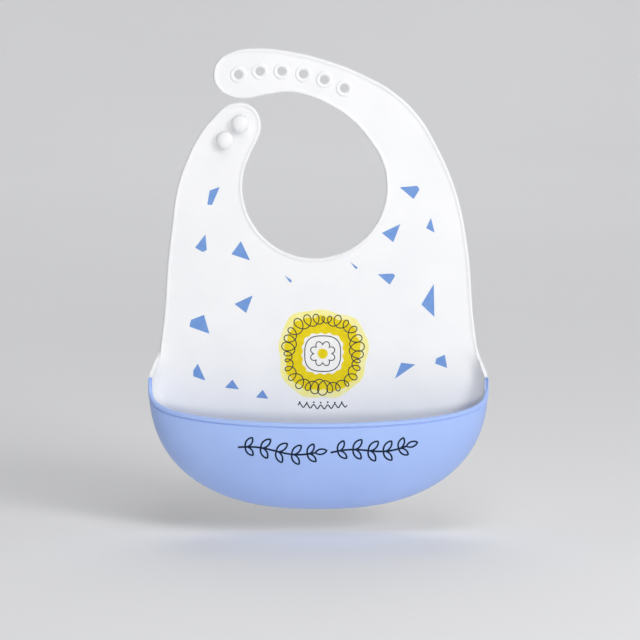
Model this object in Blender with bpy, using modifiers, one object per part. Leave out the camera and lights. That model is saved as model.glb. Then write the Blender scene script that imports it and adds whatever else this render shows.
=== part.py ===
"""A silicone baby bib with a scoop pocket, as separate solids that meet at its bending lines.

Metres, +Z up. The front faces -Y and the flat back of the sheet lies in the plane y = 0.
Heights below are measured up from the bib's lowest point. One empty then lowers the whole
bib, so that the world origin is on the flat back of the chest panel, under the neck opening.
"""

from math import cos, pi, radians, sin, sqrt

import bmesh
import bpy
from mathutils import Matrix, Vector

# Sheet and pocket wall
SHEET = 0.0022
ORIGIN_HEIGHT = 0.153
HALF_WIDTH = 0.1138
CORNER_HEIGHT = 0.088
EDGE_POWER = 2.45
EDGE_STEPS = 18
CURL_DEPTH = 0.012
CURL_WIDTH = 0.012
CURL_FADE = 0.0245
SEAM_GAP = 0.0010

# Pocket rim: an oval mouth, low in the middle and steep at its two corners
RIM_HALF_WIDTH = 0.1131
RIM_CORNER_HEIGHT = 0.0900
RIM_CORNER_DEPTH = 0.0155
RIM_MIDDLE_HEIGHT = 0.0640
RIM_MIDDLE_DEPTH = 0.046
RIM_BOW = 0.0057
RIM_PLAN_POWER = 2.0
RIM_CORNER_POWER = 5.3
RIM_CROWDING = 1.5

# Neck opening and the bending lines
NECK_X = -0.0027
NECK_HEIGHT = 0.2165
NECK_RADIUS = 0.048
FOLD_HEIGHT = 0.138
SHOULDER_HEIGHT = 0.212
NAPE_ANGLE = 60.0
STRAPS_APART = 0.273
HINGE_GAP = 0.0005
NOSE_SHARE = 0.42

# Six adjustment holes on an arc, each in a raised lip
HOLE_COUNT = 6
HOLE_ARC_X = -0.0306
HOLE_ARC_HEIGHT = 0.1892
HOLE_ARC_RADIUS = 0.1047
HOLE_FIRST_ANGLE = 102.5
HOLE_STEP_ANGLE = -7.92
HOLE_RADIUS = 0.0032
LIP_RADIUS = 0.0049
LIP_RISE = 0.0006
LIP_SIDES = 32

# Two mushroom buttons, each a turned stud through the strap
BUTTON_PLACES = {"upper_button": (-0.0528, 0.2580), "lower_button": (-0.0629, 0.2468)}
BUTTON_RADIUS = 0.0059
BUTTON_RISE = 0.0058
BUTTON_NECK_RADIUS = 0.0029
BUTTON_NECK_RISE = 0.0026
BUTTON_EDGE = 0.0008
BUTTON_UNDERCUT = 0.0007
BUTTON_BACK_STEP = 0.0002
BUTTON_GAP = 0.0003
DOME_STEPS = 5
TURN_STEPS = 24

CURVE_STEPS = 3
POINTS_APART = 0.0016
RING_INSETS = (0.0013, 0.0017, 0.0030, 0.0060)
POCKET_COLUMNS = 48
POCKET_ROWS = 8

# The outline's knots (x, height) above the two pocket corners, counter-clockwise from the front
RIGHT_SIDE = [
    (0.1118, 0.0945), (0.1073, 0.1065), (0.1050, 0.1200), (0.1033, 0.1355), (0.1013, 0.1640),
    (0.0983, 0.1860), (0.0938, 0.2070), (0.0875, 0.2255), (0.0788, 0.2440), (0.0675, 0.2628),
    (0.0515, 0.2788), (0.0300, 0.2912), (0.0050, 0.3010), (-0.0200, 0.3070), (-0.0410, 0.3090),
]
STRAP_TIP = [
    (-0.0570, 0.3068), (-0.0668, 0.3008), (-0.0700, 0.2912), (-0.0673, 0.2828), (-0.0600, 0.2772),
    (-0.0500, 0.2754), (-0.0350, 0.2779), (-0.0210, 0.2797), (-0.0080, 0.2775), (0.0080, 0.2707),
    (0.0235, 0.2597),
]
NECK_FROM_ANGLE = 40.0
NECK_TO_ANGLE = -207.0
NECK_KNOTS = 14
BUTTON_END = [
    (-0.0418, 0.2470), (-0.0393, 0.2555), (-0.0410, 0.2650), (-0.0465, 0.2710), (-0.0545, 0.2727),
    (-0.0625, 0.2700), (-0.0703, 0.2628),
]
LEFT_SIDE = [
    (-0.0800, 0.2505), (-0.0880, 0.2345), (-0.0945, 0.2155), (-0.0983, 0.1900), (-0.1013, 0.1640),
    (-0.1033, 0.1355), (-0.1050, 0.1200), (-0.1073, 0.1065), (-0.1118, 0.0945),
]


def clear_scene():
    """Empties the scene, leaving the file that this script runs from open."""
    for item in list(bpy.data.objects):
        bpy.data.objects.remove(item)


def new_collection(name):
    """A collection linked to the scene."""
    collection = bpy.data.collections.new(name)
    bpy.context.scene.collection.children.link(collection)
    return collection


def make_material(name, color, roughness):
    """A plain Principled material."""
    material = bpy.data.materials.new(name)
    material.use_nodes = True
    shader = material.node_tree.nodes["Principled BSDF"]
    shader.inputs["Base Color"].default_value = (*color, 1.0)
    shader.inputs["Roughness"].default_value = roughness
    shader.inputs["Metallic"].default_value = 0.0
    return material


def pocket_edge(angle):
    """(x, height) on the rounded lower edge, at an angle of -pi/2 to pi/2 from the middle."""
    power = 2.0 / EDGE_POWER
    side = HALF_WIDTH * abs(sin(angle)) ** power
    height = CORNER_HEIGHT * (1.0 - abs(cos(angle)) ** power)
    return (side if angle > 0 else -side), height


def outline_knots():
    """The knots of the whole outline: lower edge, right side, strap, neck, button end, left side."""
    knots = []
    for step in range(EDGE_STEPS + 1):
        knots.append(pocket_edge(-pi / 2 + pi * step / EDGE_STEPS))
    knots += RIGHT_SIDE + STRAP_TIP
    for step in range(NECK_KNOTS):
        share = step / (NECK_KNOTS - 1)
        angle = radians(NECK_FROM_ANGLE + (NECK_TO_ANGLE - NECK_FROM_ANGLE) * share)
        x = NECK_X + NECK_RADIUS * cos(angle)
        knots.append((x, NECK_HEIGHT + NECK_RADIUS * sin(angle)))
    return knots + BUTTON_END + LEFT_SIDE


def outline_mesh():
    """The whole flat outline as one face in the plane y = 0, facing +Y."""
    curve = bpy.data.curves.new("bib_outline", "CURVE")
    curve.dimensions = "2D"
    curve.fill_mode = "NONE"
    curve.resolution_u = CURVE_STEPS
    spline = curve.splines.new("BEZIER")
    knots = outline_knots()
    spline.bezier_points.add(len(knots) - 1)
    for point, (x, height) in zip(spline.bezier_points, knots):
        point.co = (x, height, 0.0)
        point.handle_left_type = "AUTO"
        point.handle_right_type = "AUTO"
    spline.use_cyclic_u = True
    guide = bpy.data.objects.new("bib_outline", curve)
    bpy.context.scene.collection.objects.link(guide)
    bpy.context.view_layer.update()
    evaluated = guide.evaluated_get(bpy.context.evaluated_depsgraph_get())
    mesh = bpy.data.meshes.new_from_object(evaluated)
    bpy.data.objects.remove(guide)
    build = bmesh.new()
    build.from_mesh(mesh)
    bmesh.ops.remove_doubles(build, verts=build.verts, dist=POINTS_APART)
    bmesh.ops.contextual_create(build, geom=build.edges[:])
    build.transform(Matrix.Rotation(radians(90), 4, "X"))
    build.normal_update()
    build.faces.ensure_lookup_table()
    if build.faces[0].normal.y < 0:
        bmesh.ops.reverse_faces(build, faces=build.faces[:])
    build.to_mesh(mesh)
    build.free()
    return mesh


def cut(build, point, away):
    """Cuts the sheet along a line through a point, and drops what lies on the away side."""
    bmesh.ops.bisect_plane(
        build, geom=build.verts[:] + build.edges[:] + build.faces[:],
        plane_co=point, plane_no=away, clear_outer=True,
    )


def cut_patch(outline, cuts, keeps):
    """The part of the outline face on the wanted side of each cut.

    A cut is (x, height, direction x, direction height): what lies along the direction stays.
    keeps tells from a face's middle whether that face belongs to the piece.
    """
    build = bmesh.new()
    build.from_mesh(outline)
    for x, height, direction_x, direction_height in cuts:
        cut(build, (x, 0.0, height), (-direction_x, 0.0, -direction_height))
    strays = [face for face in build.faces if not keeps(face.calc_center_median())]
    bmesh.ops.delete(build, geom=strays, context="FACES")
    return build


def anywhere(_middle):
    """Keeps every face."""
    return True


def as_object(name, build, material, collection):
    """An object from a bmesh, which is freed."""
    mesh = bpy.data.meshes.new(name)
    build.to_mesh(mesh)
    build.free()
    mesh.materials.append(material)
    item = bpy.data.objects.new(name, mesh)
    collection.objects.link(item)
    return item


def thicken(item):
    """Gives an open surface the sheet's thickness, on the side away from its normals."""
    solidify = item.modifiers.new("wall", "SOLIDIFY")
    solidify.thickness = SHEET
    solidify.offset = -1.0
    solidify.use_even_offset = True


def round_edges(item):
    """Rounds the sheet's edges, which also makes the round noses at the bending lines."""
    bevel = item.modifiers.new("rounding", "BEVEL")
    bevel.width = SHEET * NOSE_SHARE
    bevel.segments = 2
    bevel.limit_method = "ANGLE"
    bevel.angle_limit = radians(50)


def settle(item, bib, x=0.0, depth=0.0, height=0.0):
    """Puts the object's origin at this point of the bib, without moving its surface."""
    item.data.transform(Matrix.Translation((-x, -depth, -height)))
    item.location = (x, depth, height)
    item.parent = bib


def sheet_piece(name, outline, cuts, keeps, material, collection):
    """A flat piece of the sheet with round edges."""
    item = as_object(name, cut_patch(outline, cuts, keeps), material, collection)
    thicken(item)
    round_edges(item)
    return item


def edge_distance(point, border):
    """How far a point of the sheet is from the outline, in the sheet's plane."""
    nearest = None
    for start, end in border:
        along = end - start
        share = (point - start).dot(along) / along.length_squared
        gap = (point - start - along * min(max(share, 0.0), 1.0)).length
        if nearest is None or gap < nearest:
            nearest = gap
    return nearest


def curl(point, border):
    """The forward reach of the sheet's curled edge at a point of the flat sheet."""
    above = (point.z - CORNER_HEIGHT) / CURL_FADE
    if above >= 1.0:
        return 0.0
    strength = 1.0 if above <= 0.0 else 0.5 + 0.5 * cos(pi * above)
    inset = 1.0 - edge_distance(point, border) / CURL_WIDTH
    if inset <= 0.0:
        return 0.0
    return (CURL_DEPTH - SEAM_GAP / 2) * strength * (1.0 - sqrt(max(0.0, 1.0 - inset * inset)))


def make_lower_panel(outline, material, collection):
    """The lower sheet, with its edge curled forward to the pocket's seam."""
    top = FOLD_HEIGHT + SHEET / 2
    spare = top + 1.8 * CURL_WIDTH
    build = cut_patch(outline, [(0.0, spare, 0.0, -1.0)], anywhere)
    border = []
    for edge in build.edges:
        start, end = (corner.co.copy() for corner in edge.verts)
        if min(start.z, end.z) < spare - POINTS_APART / 4:
            border.append((start, end))
    for inset in RING_INSETS:
        build.normal_update()
        widest = max(build.faces, key=lambda face: face.calc_area())
        bmesh.ops.inset_region(
            build, faces=[widest], thickness=inset, use_even_offset=True, use_boundary=True
        )
    cut(build, (0.0, 0.0, top), (0.0, 0.0, 1.0))
    for corner in build.verts:
        corner.co.y = -curl(corner.co, border)
    item = as_object("lower_panel", build, material, collection)
    thicken(item)
    round_edges(item)
    return item


def rim_point(angle):
    """A point of the pocket's rim, at an angle of -pi/2 to pi/2 from the middle."""
    power = 2.0 / RIM_PLAN_POWER
    side = min(1.0, abs(sin(angle))) ** power
    forward = max(0.0, cos(angle)) ** power
    turned_up = 1.0 - max(0.0, 1.0 - side ** RIM_CORNER_POWER) ** (1.0 / RIM_CORNER_POWER)
    steep = RIM_CORNER_HEIGHT - RIM_MIDDLE_HEIGHT - RIM_BOW
    depth = RIM_CORNER_DEPTH + (RIM_MIDDLE_DEPTH - RIM_CORNER_DEPTH) * forward
    height = RIM_MIDDLE_HEIGHT + RIM_BOW * side * side + steep * turned_up
    return Vector((RIM_HALF_WIDTH * (side if angle > 0 else -side), -depth, height))


def crowded(across):
    """Moves evenly spaced places from -1 to 1 closer together near both ends."""
    side = 1.0 - (1.0 - min(1.0, abs(across))) ** RIM_CROWDING
    return side if across > 0 else -side


def pocket_point(across, up):
    """The pocket wall's outside: across runs from -1 to 1, up from 0 at the seam to 1 at the rim."""
    angle = crowded(across) * pi / 2
    edge_x, edge_height = pocket_edge(angle)
    seam = Vector((edge_x, -CURL_DEPTH - SEAM_GAP / 2, edge_height))
    rim = rim_point(angle)
    forward = sin(up * pi / 2)
    upward = 1.0 - cos(up * pi / 2)
    return Vector((
        seam.x + (rim.x - seam.x) * upward,
        seam.y + (rim.y - seam.y) * forward,
        seam.z + (rim.z - seam.z) * upward,
    ))


def make_food_pocket(material, collection):
    """The scoop: one wall from the seam round the belly and up to the rim."""
    build = bmesh.new()
    bmesh.ops.create_grid(build, x_segments=POCKET_COLUMNS, y_segments=POCKET_ROWS, size=1.0)
    for corner in build.verts:
        corner.co = pocket_point(corner.co.x, (corner.co.y + 1.0) / 2)
    bmesh.ops.recalc_face_normals(build, faces=build.faces[:])
    middle = min(build.faces, key=lambda face: face.calc_center_median().y)
    if middle.normal.y > 0:
        bmesh.ops.reverse_faces(build, faces=build.faces[:])
    item = as_object("food_pocket", build, material, collection)
    thicken(item)
    return item


def hole_places():
    """(x, height) of each adjustment hole, from the strap's tip."""
    places = []
    for number in range(HOLE_COUNT):
        angle = radians(HOLE_FIRST_ANGLE + HOLE_STEP_ANGLE * number)
        x = HOLE_ARC_X + HOLE_ARC_RADIUS * cos(angle)
        places.append((x, HOLE_ARC_HEIGHT + HOLE_ARC_RADIUS * sin(angle)))
    return places


def make_rods(name, places, radius, front, back, sides, collection):
    """Round rods through the sheet, from depth front to depth back, as one hidden helper."""
    build = bmesh.new()
    turn = Matrix.Rotation(radians(90), 4, "X")
    for x, height in places:
        middle = Matrix.Translation((x, (front + back) / 2, height))
        bmesh.ops.create_cone(
            build, cap_ends=True, segments=sides, radius1=radius, radius2=radius,
            depth=back - front, matrix=middle @ turn,
        )
    mesh = bpy.data.meshes.new(name)
    build.to_mesh(mesh)
    build.free()
    rods = bpy.data.objects.new(name, mesh)
    rods.hide_render = True
    rods.display_type = "WIRE"
    collection.objects.link(rods)
    return rods


def combine(item, other, operation):
    """A live Boolean with a hidden helper."""
    boolean = item.modifiers.new(operation.lower(), "BOOLEAN")
    boolean.operation = operation
    boolean.solver = "EXACT"
    boolean.object = other


def make_button(name, place, material, collection):
    """A stud turned about its own axis: back end, neck, domed head."""
    x, height = place
    edge = BUTTON_NECK_RISE + BUTTON_EDGE
    profile = []
    for step in range(DOME_STEPS + 1):
        turn = radians(90) * step / DOME_STEPS
        profile.append((BUTTON_RADIUS * sin(turn), edge + (BUTTON_RISE - edge) * cos(turn)))
    profile += [
        (BUTTON_RADIUS - BUTTON_UNDERCUT, BUTTON_NECK_RISE),
        (BUTTON_NECK_RADIUS, BUTTON_NECK_RISE),
        (BUTTON_NECK_RADIUS, BUTTON_BACK_STEP - SHEET),
        (0.0, BUTTON_BACK_STEP - SHEET),
    ]
    build = bmesh.new()
    corners = [build.verts.new((radius, 0.0, rise)) for radius, rise in profile]
    for first, second in zip(corners, corners[1:]):
        build.edges.new((first, second))
    item = as_object(name, build, material, collection)
    screw = item.modifiers.new("turn", "SCREW")
    screw.steps = screw.render_steps = TURN_STEPS
    screw.use_merge_vertices = True
    screw.merge_threshold = 0.00001
    item.rotation_euler = (radians(90), 0.0, 0.0)
    item.location = (x, -SHEET, height)
    return item


def main():
    clear_scene()
    parts = new_collection("silicone_bib")
    helpers = new_collection("bib_cutters")
    white = make_material("white_silicone", (0.86, 0.86, 0.87), 0.5)
    blue = make_material("blue_silicone", (0.37, 0.50, 0.86), 0.5)
    bib = bpy.data.objects.new("bib", None)
    bib.location = (0.0, 0.0, -ORIGIN_HEIGHT)
    parts.objects.link(bib)

    outline = outline_mesh()
    half = SHEET / 2
    nape = radians(NAPE_ANGLE)
    nape_x, nape_height = -sin(nape), cos(nape)
    before_gap = half + HINGE_GAP
    above_shoulder = (0.0, SHOULDER_HEIGHT - half, 0.0, 1.0)

    chest = sheet_piece(
        "chest_panel", outline,
        [(0.0, FOLD_HEIGHT + half + HINGE_GAP, 0.0, 1.0),
         (0.0, SHOULDER_HEIGHT - half - HINGE_GAP, 0.0, -1.0)],
        anywhere, white, parts,
    )
    settle(chest, bib, height=ORIGIN_HEIGHT)

    lower = make_lower_panel(outline, white, parts)
    settle(lower, bib, depth=-half, height=FOLD_HEIGHT)
    pocket = make_food_pocket(blue, parts)
    settle(pocket, bib, depth=-half, height=FOLD_HEIGHT)

    button_strap = sheet_piece(
        "button_strap", outline, [above_shoulder, (NECK_X, 0.0, -1.0, 0.0)],
        lambda middle: middle.z < STRAPS_APART, white, parts,
    )
    stems = make_rods(
        "button_stem_cutters", BUTTON_PLACES.values(), BUTTON_NECK_RADIUS + BUTTON_GAP,
        -2 * SHEET, SHEET, TURN_STEPS, helpers,
    )
    combine(button_strap, stems, "DIFFERENCE")
    settle(button_strap, bib, depth=-half, height=SHOULDER_HEIGHT)
    for name, place in BUTTON_PLACES.items():
        make_button(name, place, white, parts).parent = bib

    hole_strap = sheet_piece(
        "hole_strap", outline,
        [above_shoulder, (NECK_X - nape_x * before_gap, NECK_HEIGHT - nape_height * before_gap,
                          -nape_x, -nape_height)],
        lambda middle: middle.x > NECK_X, white, parts,
    )
    settle(hole_strap, bib, depth=-half, height=SHOULDER_HEIGHT)

    strap_end = sheet_piece(
        "hole_strap_end", outline,
        [(NECK_X - nape_x * half, NECK_HEIGHT - nape_height * half, nape_x, nape_height)],
        lambda middle: middle.z > STRAPS_APART, white, parts,
    )
    holes = hole_places()
    lips = make_rods("hole_lips", holes, LIP_RADIUS, -SHEET - LIP_RISE, -half, LIP_SIDES, helpers)
    combine(strap_end, lips, "UNION")
    cutters = make_rods("hole_cutters", holes, HOLE_RADIUS, -3 * SHEET, SHEET, TURN_STEPS, helpers)
    combine(strap_end, cutters, "DIFFERENCE")
    settle(strap_end, bib, x=NECK_X, depth=-half, height=NECK_HEIGHT)

    for helper in (stems, lips, cutters):
        helper.parent = bib


main()
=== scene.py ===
"""The looks of a moulded silicone baby bib: white sheet with straps, blue scoop pocket, printed decoration.

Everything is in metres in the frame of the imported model: +Z up, the front faces -Y and the flat back
of the sheet lies in the plane y = 0. Heights are measured up from the bib's lowest point.
"""

import logging  # noqa: E402
from collections.abc import Callable, Iterable, Sequence  # noqa: E402
from dataclasses import dataclass, field  # noqa: E402
from enum import Enum  # noqa: E402
from math import acos, ceil, cos, pi, radians, sin, sqrt  # noqa: E402

import bpy  # noqa: E402
import numpy as np  # noqa: E402
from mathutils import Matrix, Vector  # noqa: E402
from mathutils.bvhtree import BVHTree  # noqa: E402


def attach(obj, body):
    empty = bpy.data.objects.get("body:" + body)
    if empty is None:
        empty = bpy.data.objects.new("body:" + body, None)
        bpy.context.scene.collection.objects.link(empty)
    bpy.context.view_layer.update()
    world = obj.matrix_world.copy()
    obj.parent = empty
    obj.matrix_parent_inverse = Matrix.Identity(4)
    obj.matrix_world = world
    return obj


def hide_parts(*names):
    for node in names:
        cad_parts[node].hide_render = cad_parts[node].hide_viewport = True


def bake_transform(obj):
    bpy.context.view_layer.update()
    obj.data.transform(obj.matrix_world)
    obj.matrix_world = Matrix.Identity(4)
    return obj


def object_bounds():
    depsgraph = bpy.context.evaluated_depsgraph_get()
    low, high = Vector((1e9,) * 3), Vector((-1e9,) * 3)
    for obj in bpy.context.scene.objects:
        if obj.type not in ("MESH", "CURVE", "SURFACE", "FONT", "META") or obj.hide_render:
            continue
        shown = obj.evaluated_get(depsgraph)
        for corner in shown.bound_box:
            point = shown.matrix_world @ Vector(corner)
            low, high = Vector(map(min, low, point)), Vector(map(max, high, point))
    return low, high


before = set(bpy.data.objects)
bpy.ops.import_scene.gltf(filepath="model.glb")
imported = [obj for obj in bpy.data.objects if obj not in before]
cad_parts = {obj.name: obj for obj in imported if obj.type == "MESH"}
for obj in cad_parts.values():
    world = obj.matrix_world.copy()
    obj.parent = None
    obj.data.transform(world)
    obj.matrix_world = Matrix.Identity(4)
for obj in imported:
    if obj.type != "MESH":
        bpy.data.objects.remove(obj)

LOG = logging.getLogger("bib")

Colour = tuple[float, float, float]
Spot = tuple[float, float]
Ring = tuple[float, int, tuple[tuple[int, float, float], ...]]

CAD_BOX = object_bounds()
FOOT = CAD_BOX[0].z
SHEET = 0.0022


class Body(Enum):
    """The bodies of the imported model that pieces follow."""

    CHEST = "chest"
    POCKET = "pocket_body"
    BUTTON_STRAP = "button_strap"
    HOLE_STRAP = "hole_strap"
    HOLE_STRAP_END = "hole_strap_end"


class Slot(Enum):
    """The record's material slots."""

    WHITE = "white_silicone"
    BLUE = "blue_silicone"
    BUTTON = "button_silicone"
    CHIP_INK = "chip_ink"
    GOLD_INK = "gold_ink"
    HALO_INK = "halo_ink"
    NAVY_INK = "navy_ink"


@dataclass(frozen=True)
class Bend:
    """A stretch of the sheet that turns smoothly from one body to the next.

    start and end are (x, height) where the turning begins and ends. rows are the lines along which
    every mesh in the stretch is divided, so that the sheet and the prints on it bend alike.
    """

    first: Body
    second: Body
    start: Spot
    end: Spot
    row_step: float = 0.0020

    def length(self) -> float:
        """The length of the stretch."""
        return sqrt((self.end[0] - self.start[0]) ** 2 + (self.end[1] - self.start[1]) ** 2)

    def rows(self) -> list[tuple[Vector, Vector]]:
        """The dividing planes, each as a point and a normal, in the model's frame."""
        start = Vector((self.start[0], 0.0, self.start[1] + FOOT))
        along = Vector((self.end[0] - self.start[0], 0.0, self.end[1] - self.start[1]))
        count = ceil(self.length() / self.row_step)
        return [(start + along * (step / count), along.normalized()) for step in range(count + 1)]

    def hold(self, piece: bpy.types.Object) -> None:
        """Moves a piece's place, turn and scale into its mesh."""
        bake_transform(piece)


PANEL_FOLD = Bend(Body.CHEST, Body.POCKET, (0.0, 0.160), (0.0, 0.116))
BUTTON_STRAP_BEND = Bend(Body.CHEST, Body.BUTTON_STRAP, (0.0, 0.196), (0.0, 0.228))
HOLE_STRAP_BEND = Bend(Body.CHEST, Body.HOLE_STRAP, (0.0, 0.196), (0.0, 0.228))
NAPE_CENTRE = (-0.0027, 0.2165)
NAPE_AWAY = (-sin(radians(60)), cos(radians(60)))
NAPE_BEND = Bend(
    Body.HOLE_STRAP, Body.HOLE_STRAP_END,
    (NAPE_CENTRE[0] - 0.014 * NAPE_AWAY[0], NAPE_CENTRE[1] - 0.014 * NAPE_AWAY[1]),
    (NAPE_CENTRE[0] + 0.010 * NAPE_AWAY[0], NAPE_CENTRE[1] + 0.010 * NAPE_AWAY[1]),
)
SHOULDER_SEAM = 0.192
NAPE_SEAM = -0.016


# ---------------------------------------------------------------- finishes


@dataclass
class NodeTable:
    """Adds and joins the nodes of one material."""

    material: bpy.types.Material

    @classmethod
    def named(cls, name: str) -> "NodeTable":
        """A new material with its shader and output.

        Args:
            name: what the material is called.

        Returns:
            The table that holds it.
        """
        material = bpy.data.materials.new(name)
        material.use_nodes = True
        return cls(material)

    @property
    def shader(self) -> bpy.types.Node:
        """The material's surface shader."""
        return self.material.node_tree.nodes["Principled BSDF"]

    def add(self, kind: str, **values: object) -> bpy.types.Node:
        """Adds a node and sets its inputs.

        Args:
            kind: the node's type.
            values: input values by name, with _ for a space.

        Returns:
            The new node.
        """
        node = self.material.node_tree.nodes.new(kind)
        for name, value in values.items():
            node.inputs[name.replace("_", " ")].default_value = value
        return node

    def set_shader(self, **values: float) -> None:
        """Sets the shader's inputs, named as for add."""
        for name, value in values.items():
            self.shader.inputs[name.replace("_", " ")].default_value = value

    def join(self, source: bpy.types.NodeSocket, target: bpy.types.NodeSocket) -> None:
        """Links one socket to another."""
        self.material.node_tree.links.new(source, target)

    def noise(self, size: float, detail: float = 2.0, distortion: float = 0.0) -> bpy.types.NodeSocket:
        """Noise fixed to the object.

        Args:
            size: about how large its spots are, in metres.
            detail: how many finer layers it has.
            distortion: how much it swirls.

        Returns:
            The noise's value, about 0 to 1.
        """
        place = self.add("ShaderNodeTexCoord")
        noise = self.add("ShaderNodeTexNoise", Scale=1.0 / size, Detail=detail, Distortion=distortion)
        self.join(place.outputs["Object"], noise.inputs["Vector"])
        return noise.outputs[0]

    def spread(self, source: bpy.types.NodeSocket, low: float, high: float) -> bpy.types.NodeSocket:
        """Turns the middle of a noise, 0.35 to 0.65, into the range low to high."""
        ranged = self.add("ShaderNodeMapRange")
        for name, value in (("From Min", 0.35), ("From Max", 0.65), ("To Min", low), ("To Max", high)):
            ranged.inputs[name].default_value = value
        self.join(source, ranged.inputs["Value"])
        return ranged.outputs["Result"]

    def mix(self, share: bpy.types.NodeSocket, first: Colour, second: Colour) -> bpy.types.NodeSocket:
        """A colour that goes from first to second as share goes from 0 to 1."""
        mix = self.material.node_tree.nodes.new("ShaderNodeMix")
        mix.data_type = "RGBA"
        mix.inputs[6].default_value = (*first, 1.0)
        mix.inputs[7].default_value = (*second, 1.0)
        self.join(share, mix.inputs[0])
        return mix.outputs[2]

    def bump(self, layers: Sequence[tuple[bpy.types.NodeSocket, float, float]]) -> None:
        """Stacks bumps on the shader.

        Args:
            layers: for each, its height, the height's size in metres, and its strength.
        """
        last = None
        for height, distance, strength in layers:
            bump = self.add("ShaderNodeBump", Distance=distance, Strength=strength)
            self.join(height, bump.inputs["Height"])
            if last is not None:
                self.join(last.outputs[0], bump.inputs["Normal"])
            last = bump
        self.join(last.outputs[0], self.shader.inputs["Normal"])


@dataclass(frozen=True)
class Finish:
    """A surface whose colour drifts between two near tones."""

    name: str
    colour: Colour
    cloud: Colour

    def material(self) -> bpy.types.Material:
        """The finish as a material, made once."""
        made = bpy.data.materials.get(self.name)
        if made is None:
            table = NodeTable.named(self.name)
            self.brush(table)
            made = table.material
        return made

    def brush(self, table: NodeTable) -> None:
        """Sets up the surface's nodes."""
        raise NotImplementedError

    def tone(self, table: NodeTable, noise: bpy.types.NodeSocket) -> None:
        """Lets the colour follow a noise."""
        share = table.spread(noise, 0.0, 1.0)
        table.join(table.mix(share, self.colour, self.cloud), table.shader.inputs["Base Color"])


@dataclass(frozen=True)
class SiliconeFinish(Finish):
    """Matte moulded silicone: a fine sparked grain, faint clouds of tone and a soft sheen."""

    roughness: tuple[float, float] = (0.44, 0.56)
    specular: float = 0.42
    refraction: float = 1.41
    sheen: float = 0.12
    sheen_roughness: float = 0.6
    cloud_size: float = 0.035
    smudge_size: float = 0.01575
    grain: tuple[float, float, float] = (0.00055, 0.00006, 0.35)
    ripple: tuple[float, float, float] = (0.012, 0.00016, 0.5)

    def brush(self, table: NodeTable) -> None:
        """Clouds and smudges, then a fine grain on a slow ripple; each has a size, depth, strength."""
        table.set_shader(
            Specular_IOR_Level=self.specular, IOR=self.refraction,
            Sheen_Weight=self.sheen, Sheen_Roughness=self.sheen_roughness,
        )
        self.tone(table, table.noise(self.cloud_size, 3.0))
        smudges = table.spread(table.noise(self.smudge_size, 4.0), *self.roughness)
        table.join(smudges, table.shader.inputs["Roughness"])
        table.bump([
            (table.noise(self.grain[0], 2.0), *self.grain[1:]),
            (table.noise(self.ripple[0], 1.0), *self.ripple[1:]),
        ])


@dataclass(frozen=True)
class InkFinish(Finish):
    """Screen-printed ink: even colour with a light mottle and a faint tooth."""

    patch_size: float = 0.0035
    swirl: float = 0.0
    roughness: float = 0.5
    specular: float = 0.12
    tooth: tuple[float, float, float] = (0.0004, 0.00004, 0.4)

    def brush(self, table: NodeTable) -> None:
        """Patches of the two tones over a faint tooth, which has a size, depth and strength."""
        table.set_shader(Roughness=self.roughness, Specular_IOR_Level=self.specular)
        self.tone(table, table.noise(self.patch_size, 4.0, self.swirl))
        table.bump([(table.noise(self.tooth[0], 2.0), *self.tooth[1:])])


@dataclass(frozen=True)
class PaperFinish(Finish):
    """Dull studio paper."""

    patch_size: float = 0.5
    roughness: float = 0.9

    def brush(self, table: NodeTable) -> None:
        """Broad patches of the two tones."""
        table.set_shader(Roughness=self.roughness)
        self.tone(table, table.noise(self.patch_size, 2.0))


WHITE_SILICONE = SiliconeFinish("white_silicone_skin", (0.870, 0.872, 0.880), (0.845, 0.850, 0.864))
BUTTON_SILICONE = SiliconeFinish(
    "button_silicone_skin", (0.875, 0.877, 0.884), (0.850, 0.853, 0.866), roughness=(0.36, 0.46)
)
BLUE_SILICONE = SiliconeFinish(
    "blue_silicone_skin", (0.375, 0.515, 0.890), (0.355, 0.492, 0.872), roughness=(0.40, 0.52)
)
CHIP_INK = InkFinish("chip_ink_print", (0.155, 0.300, 0.650), (0.180, 0.335, 0.680))
GOLD_INK = InkFinish("gold_ink_print", (0.750, 0.575, 0.000), (0.800, 0.650, 0.012), 0.006, 1.2)
HALO_INK = InkFinish("halo_ink_print", (0.900, 0.830, 0.270), (0.890, 0.850, 0.470), 0.011, 1.5)
NAVY_INK = InkFinish("navy_ink_print", (0.003, 0.010, 0.034), (0.006, 0.018, 0.050))
PAPER_INK = InkFinish("paper_white_print", (0.875, 0.872, 0.850), (0.860, 0.850, 0.820))
STUDIO_PAPER = PaperFinish("studio_paper", (0.90, 0.90, 0.912), (0.8865, 0.8865, 0.89832))


# ---------------------------------------------------------------- hand work on meshes


def deselect_all() -> None:
    """Leaves no object selected."""
    if bpy.context.object is not None and bpy.context.object.mode != "OBJECT":
        bpy.ops.object.mode_set(mode="OBJECT")
    bpy.ops.object.select_all(action="DESELECT")


def take_up(*items: bpy.types.Object) -> None:
    """Selects these objects alone, the first of them active."""
    deselect_all()
    for item in items:
        item.select_set(True)
    bpy.context.view_layer.objects.active = items[0]


def open_edit(item: bpy.types.Object, select: str = "SELECT", mode: str = "FACE") -> None:
    """Takes an object into edit mode.

    Args:
        item: the object.
        select: SELECT for all of it, DESELECT for none.
        mode: VERT, EDGE or FACE.
    """
    take_up(item)
    bpy.ops.object.mode_set(mode="EDIT")
    bpy.ops.mesh.select_mode(type=mode)
    bpy.ops.mesh.select_all(action=select)


def close_edit() -> None:
    """Goes back to object mode."""
    bpy.ops.object.mode_set(mode="OBJECT")


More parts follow.
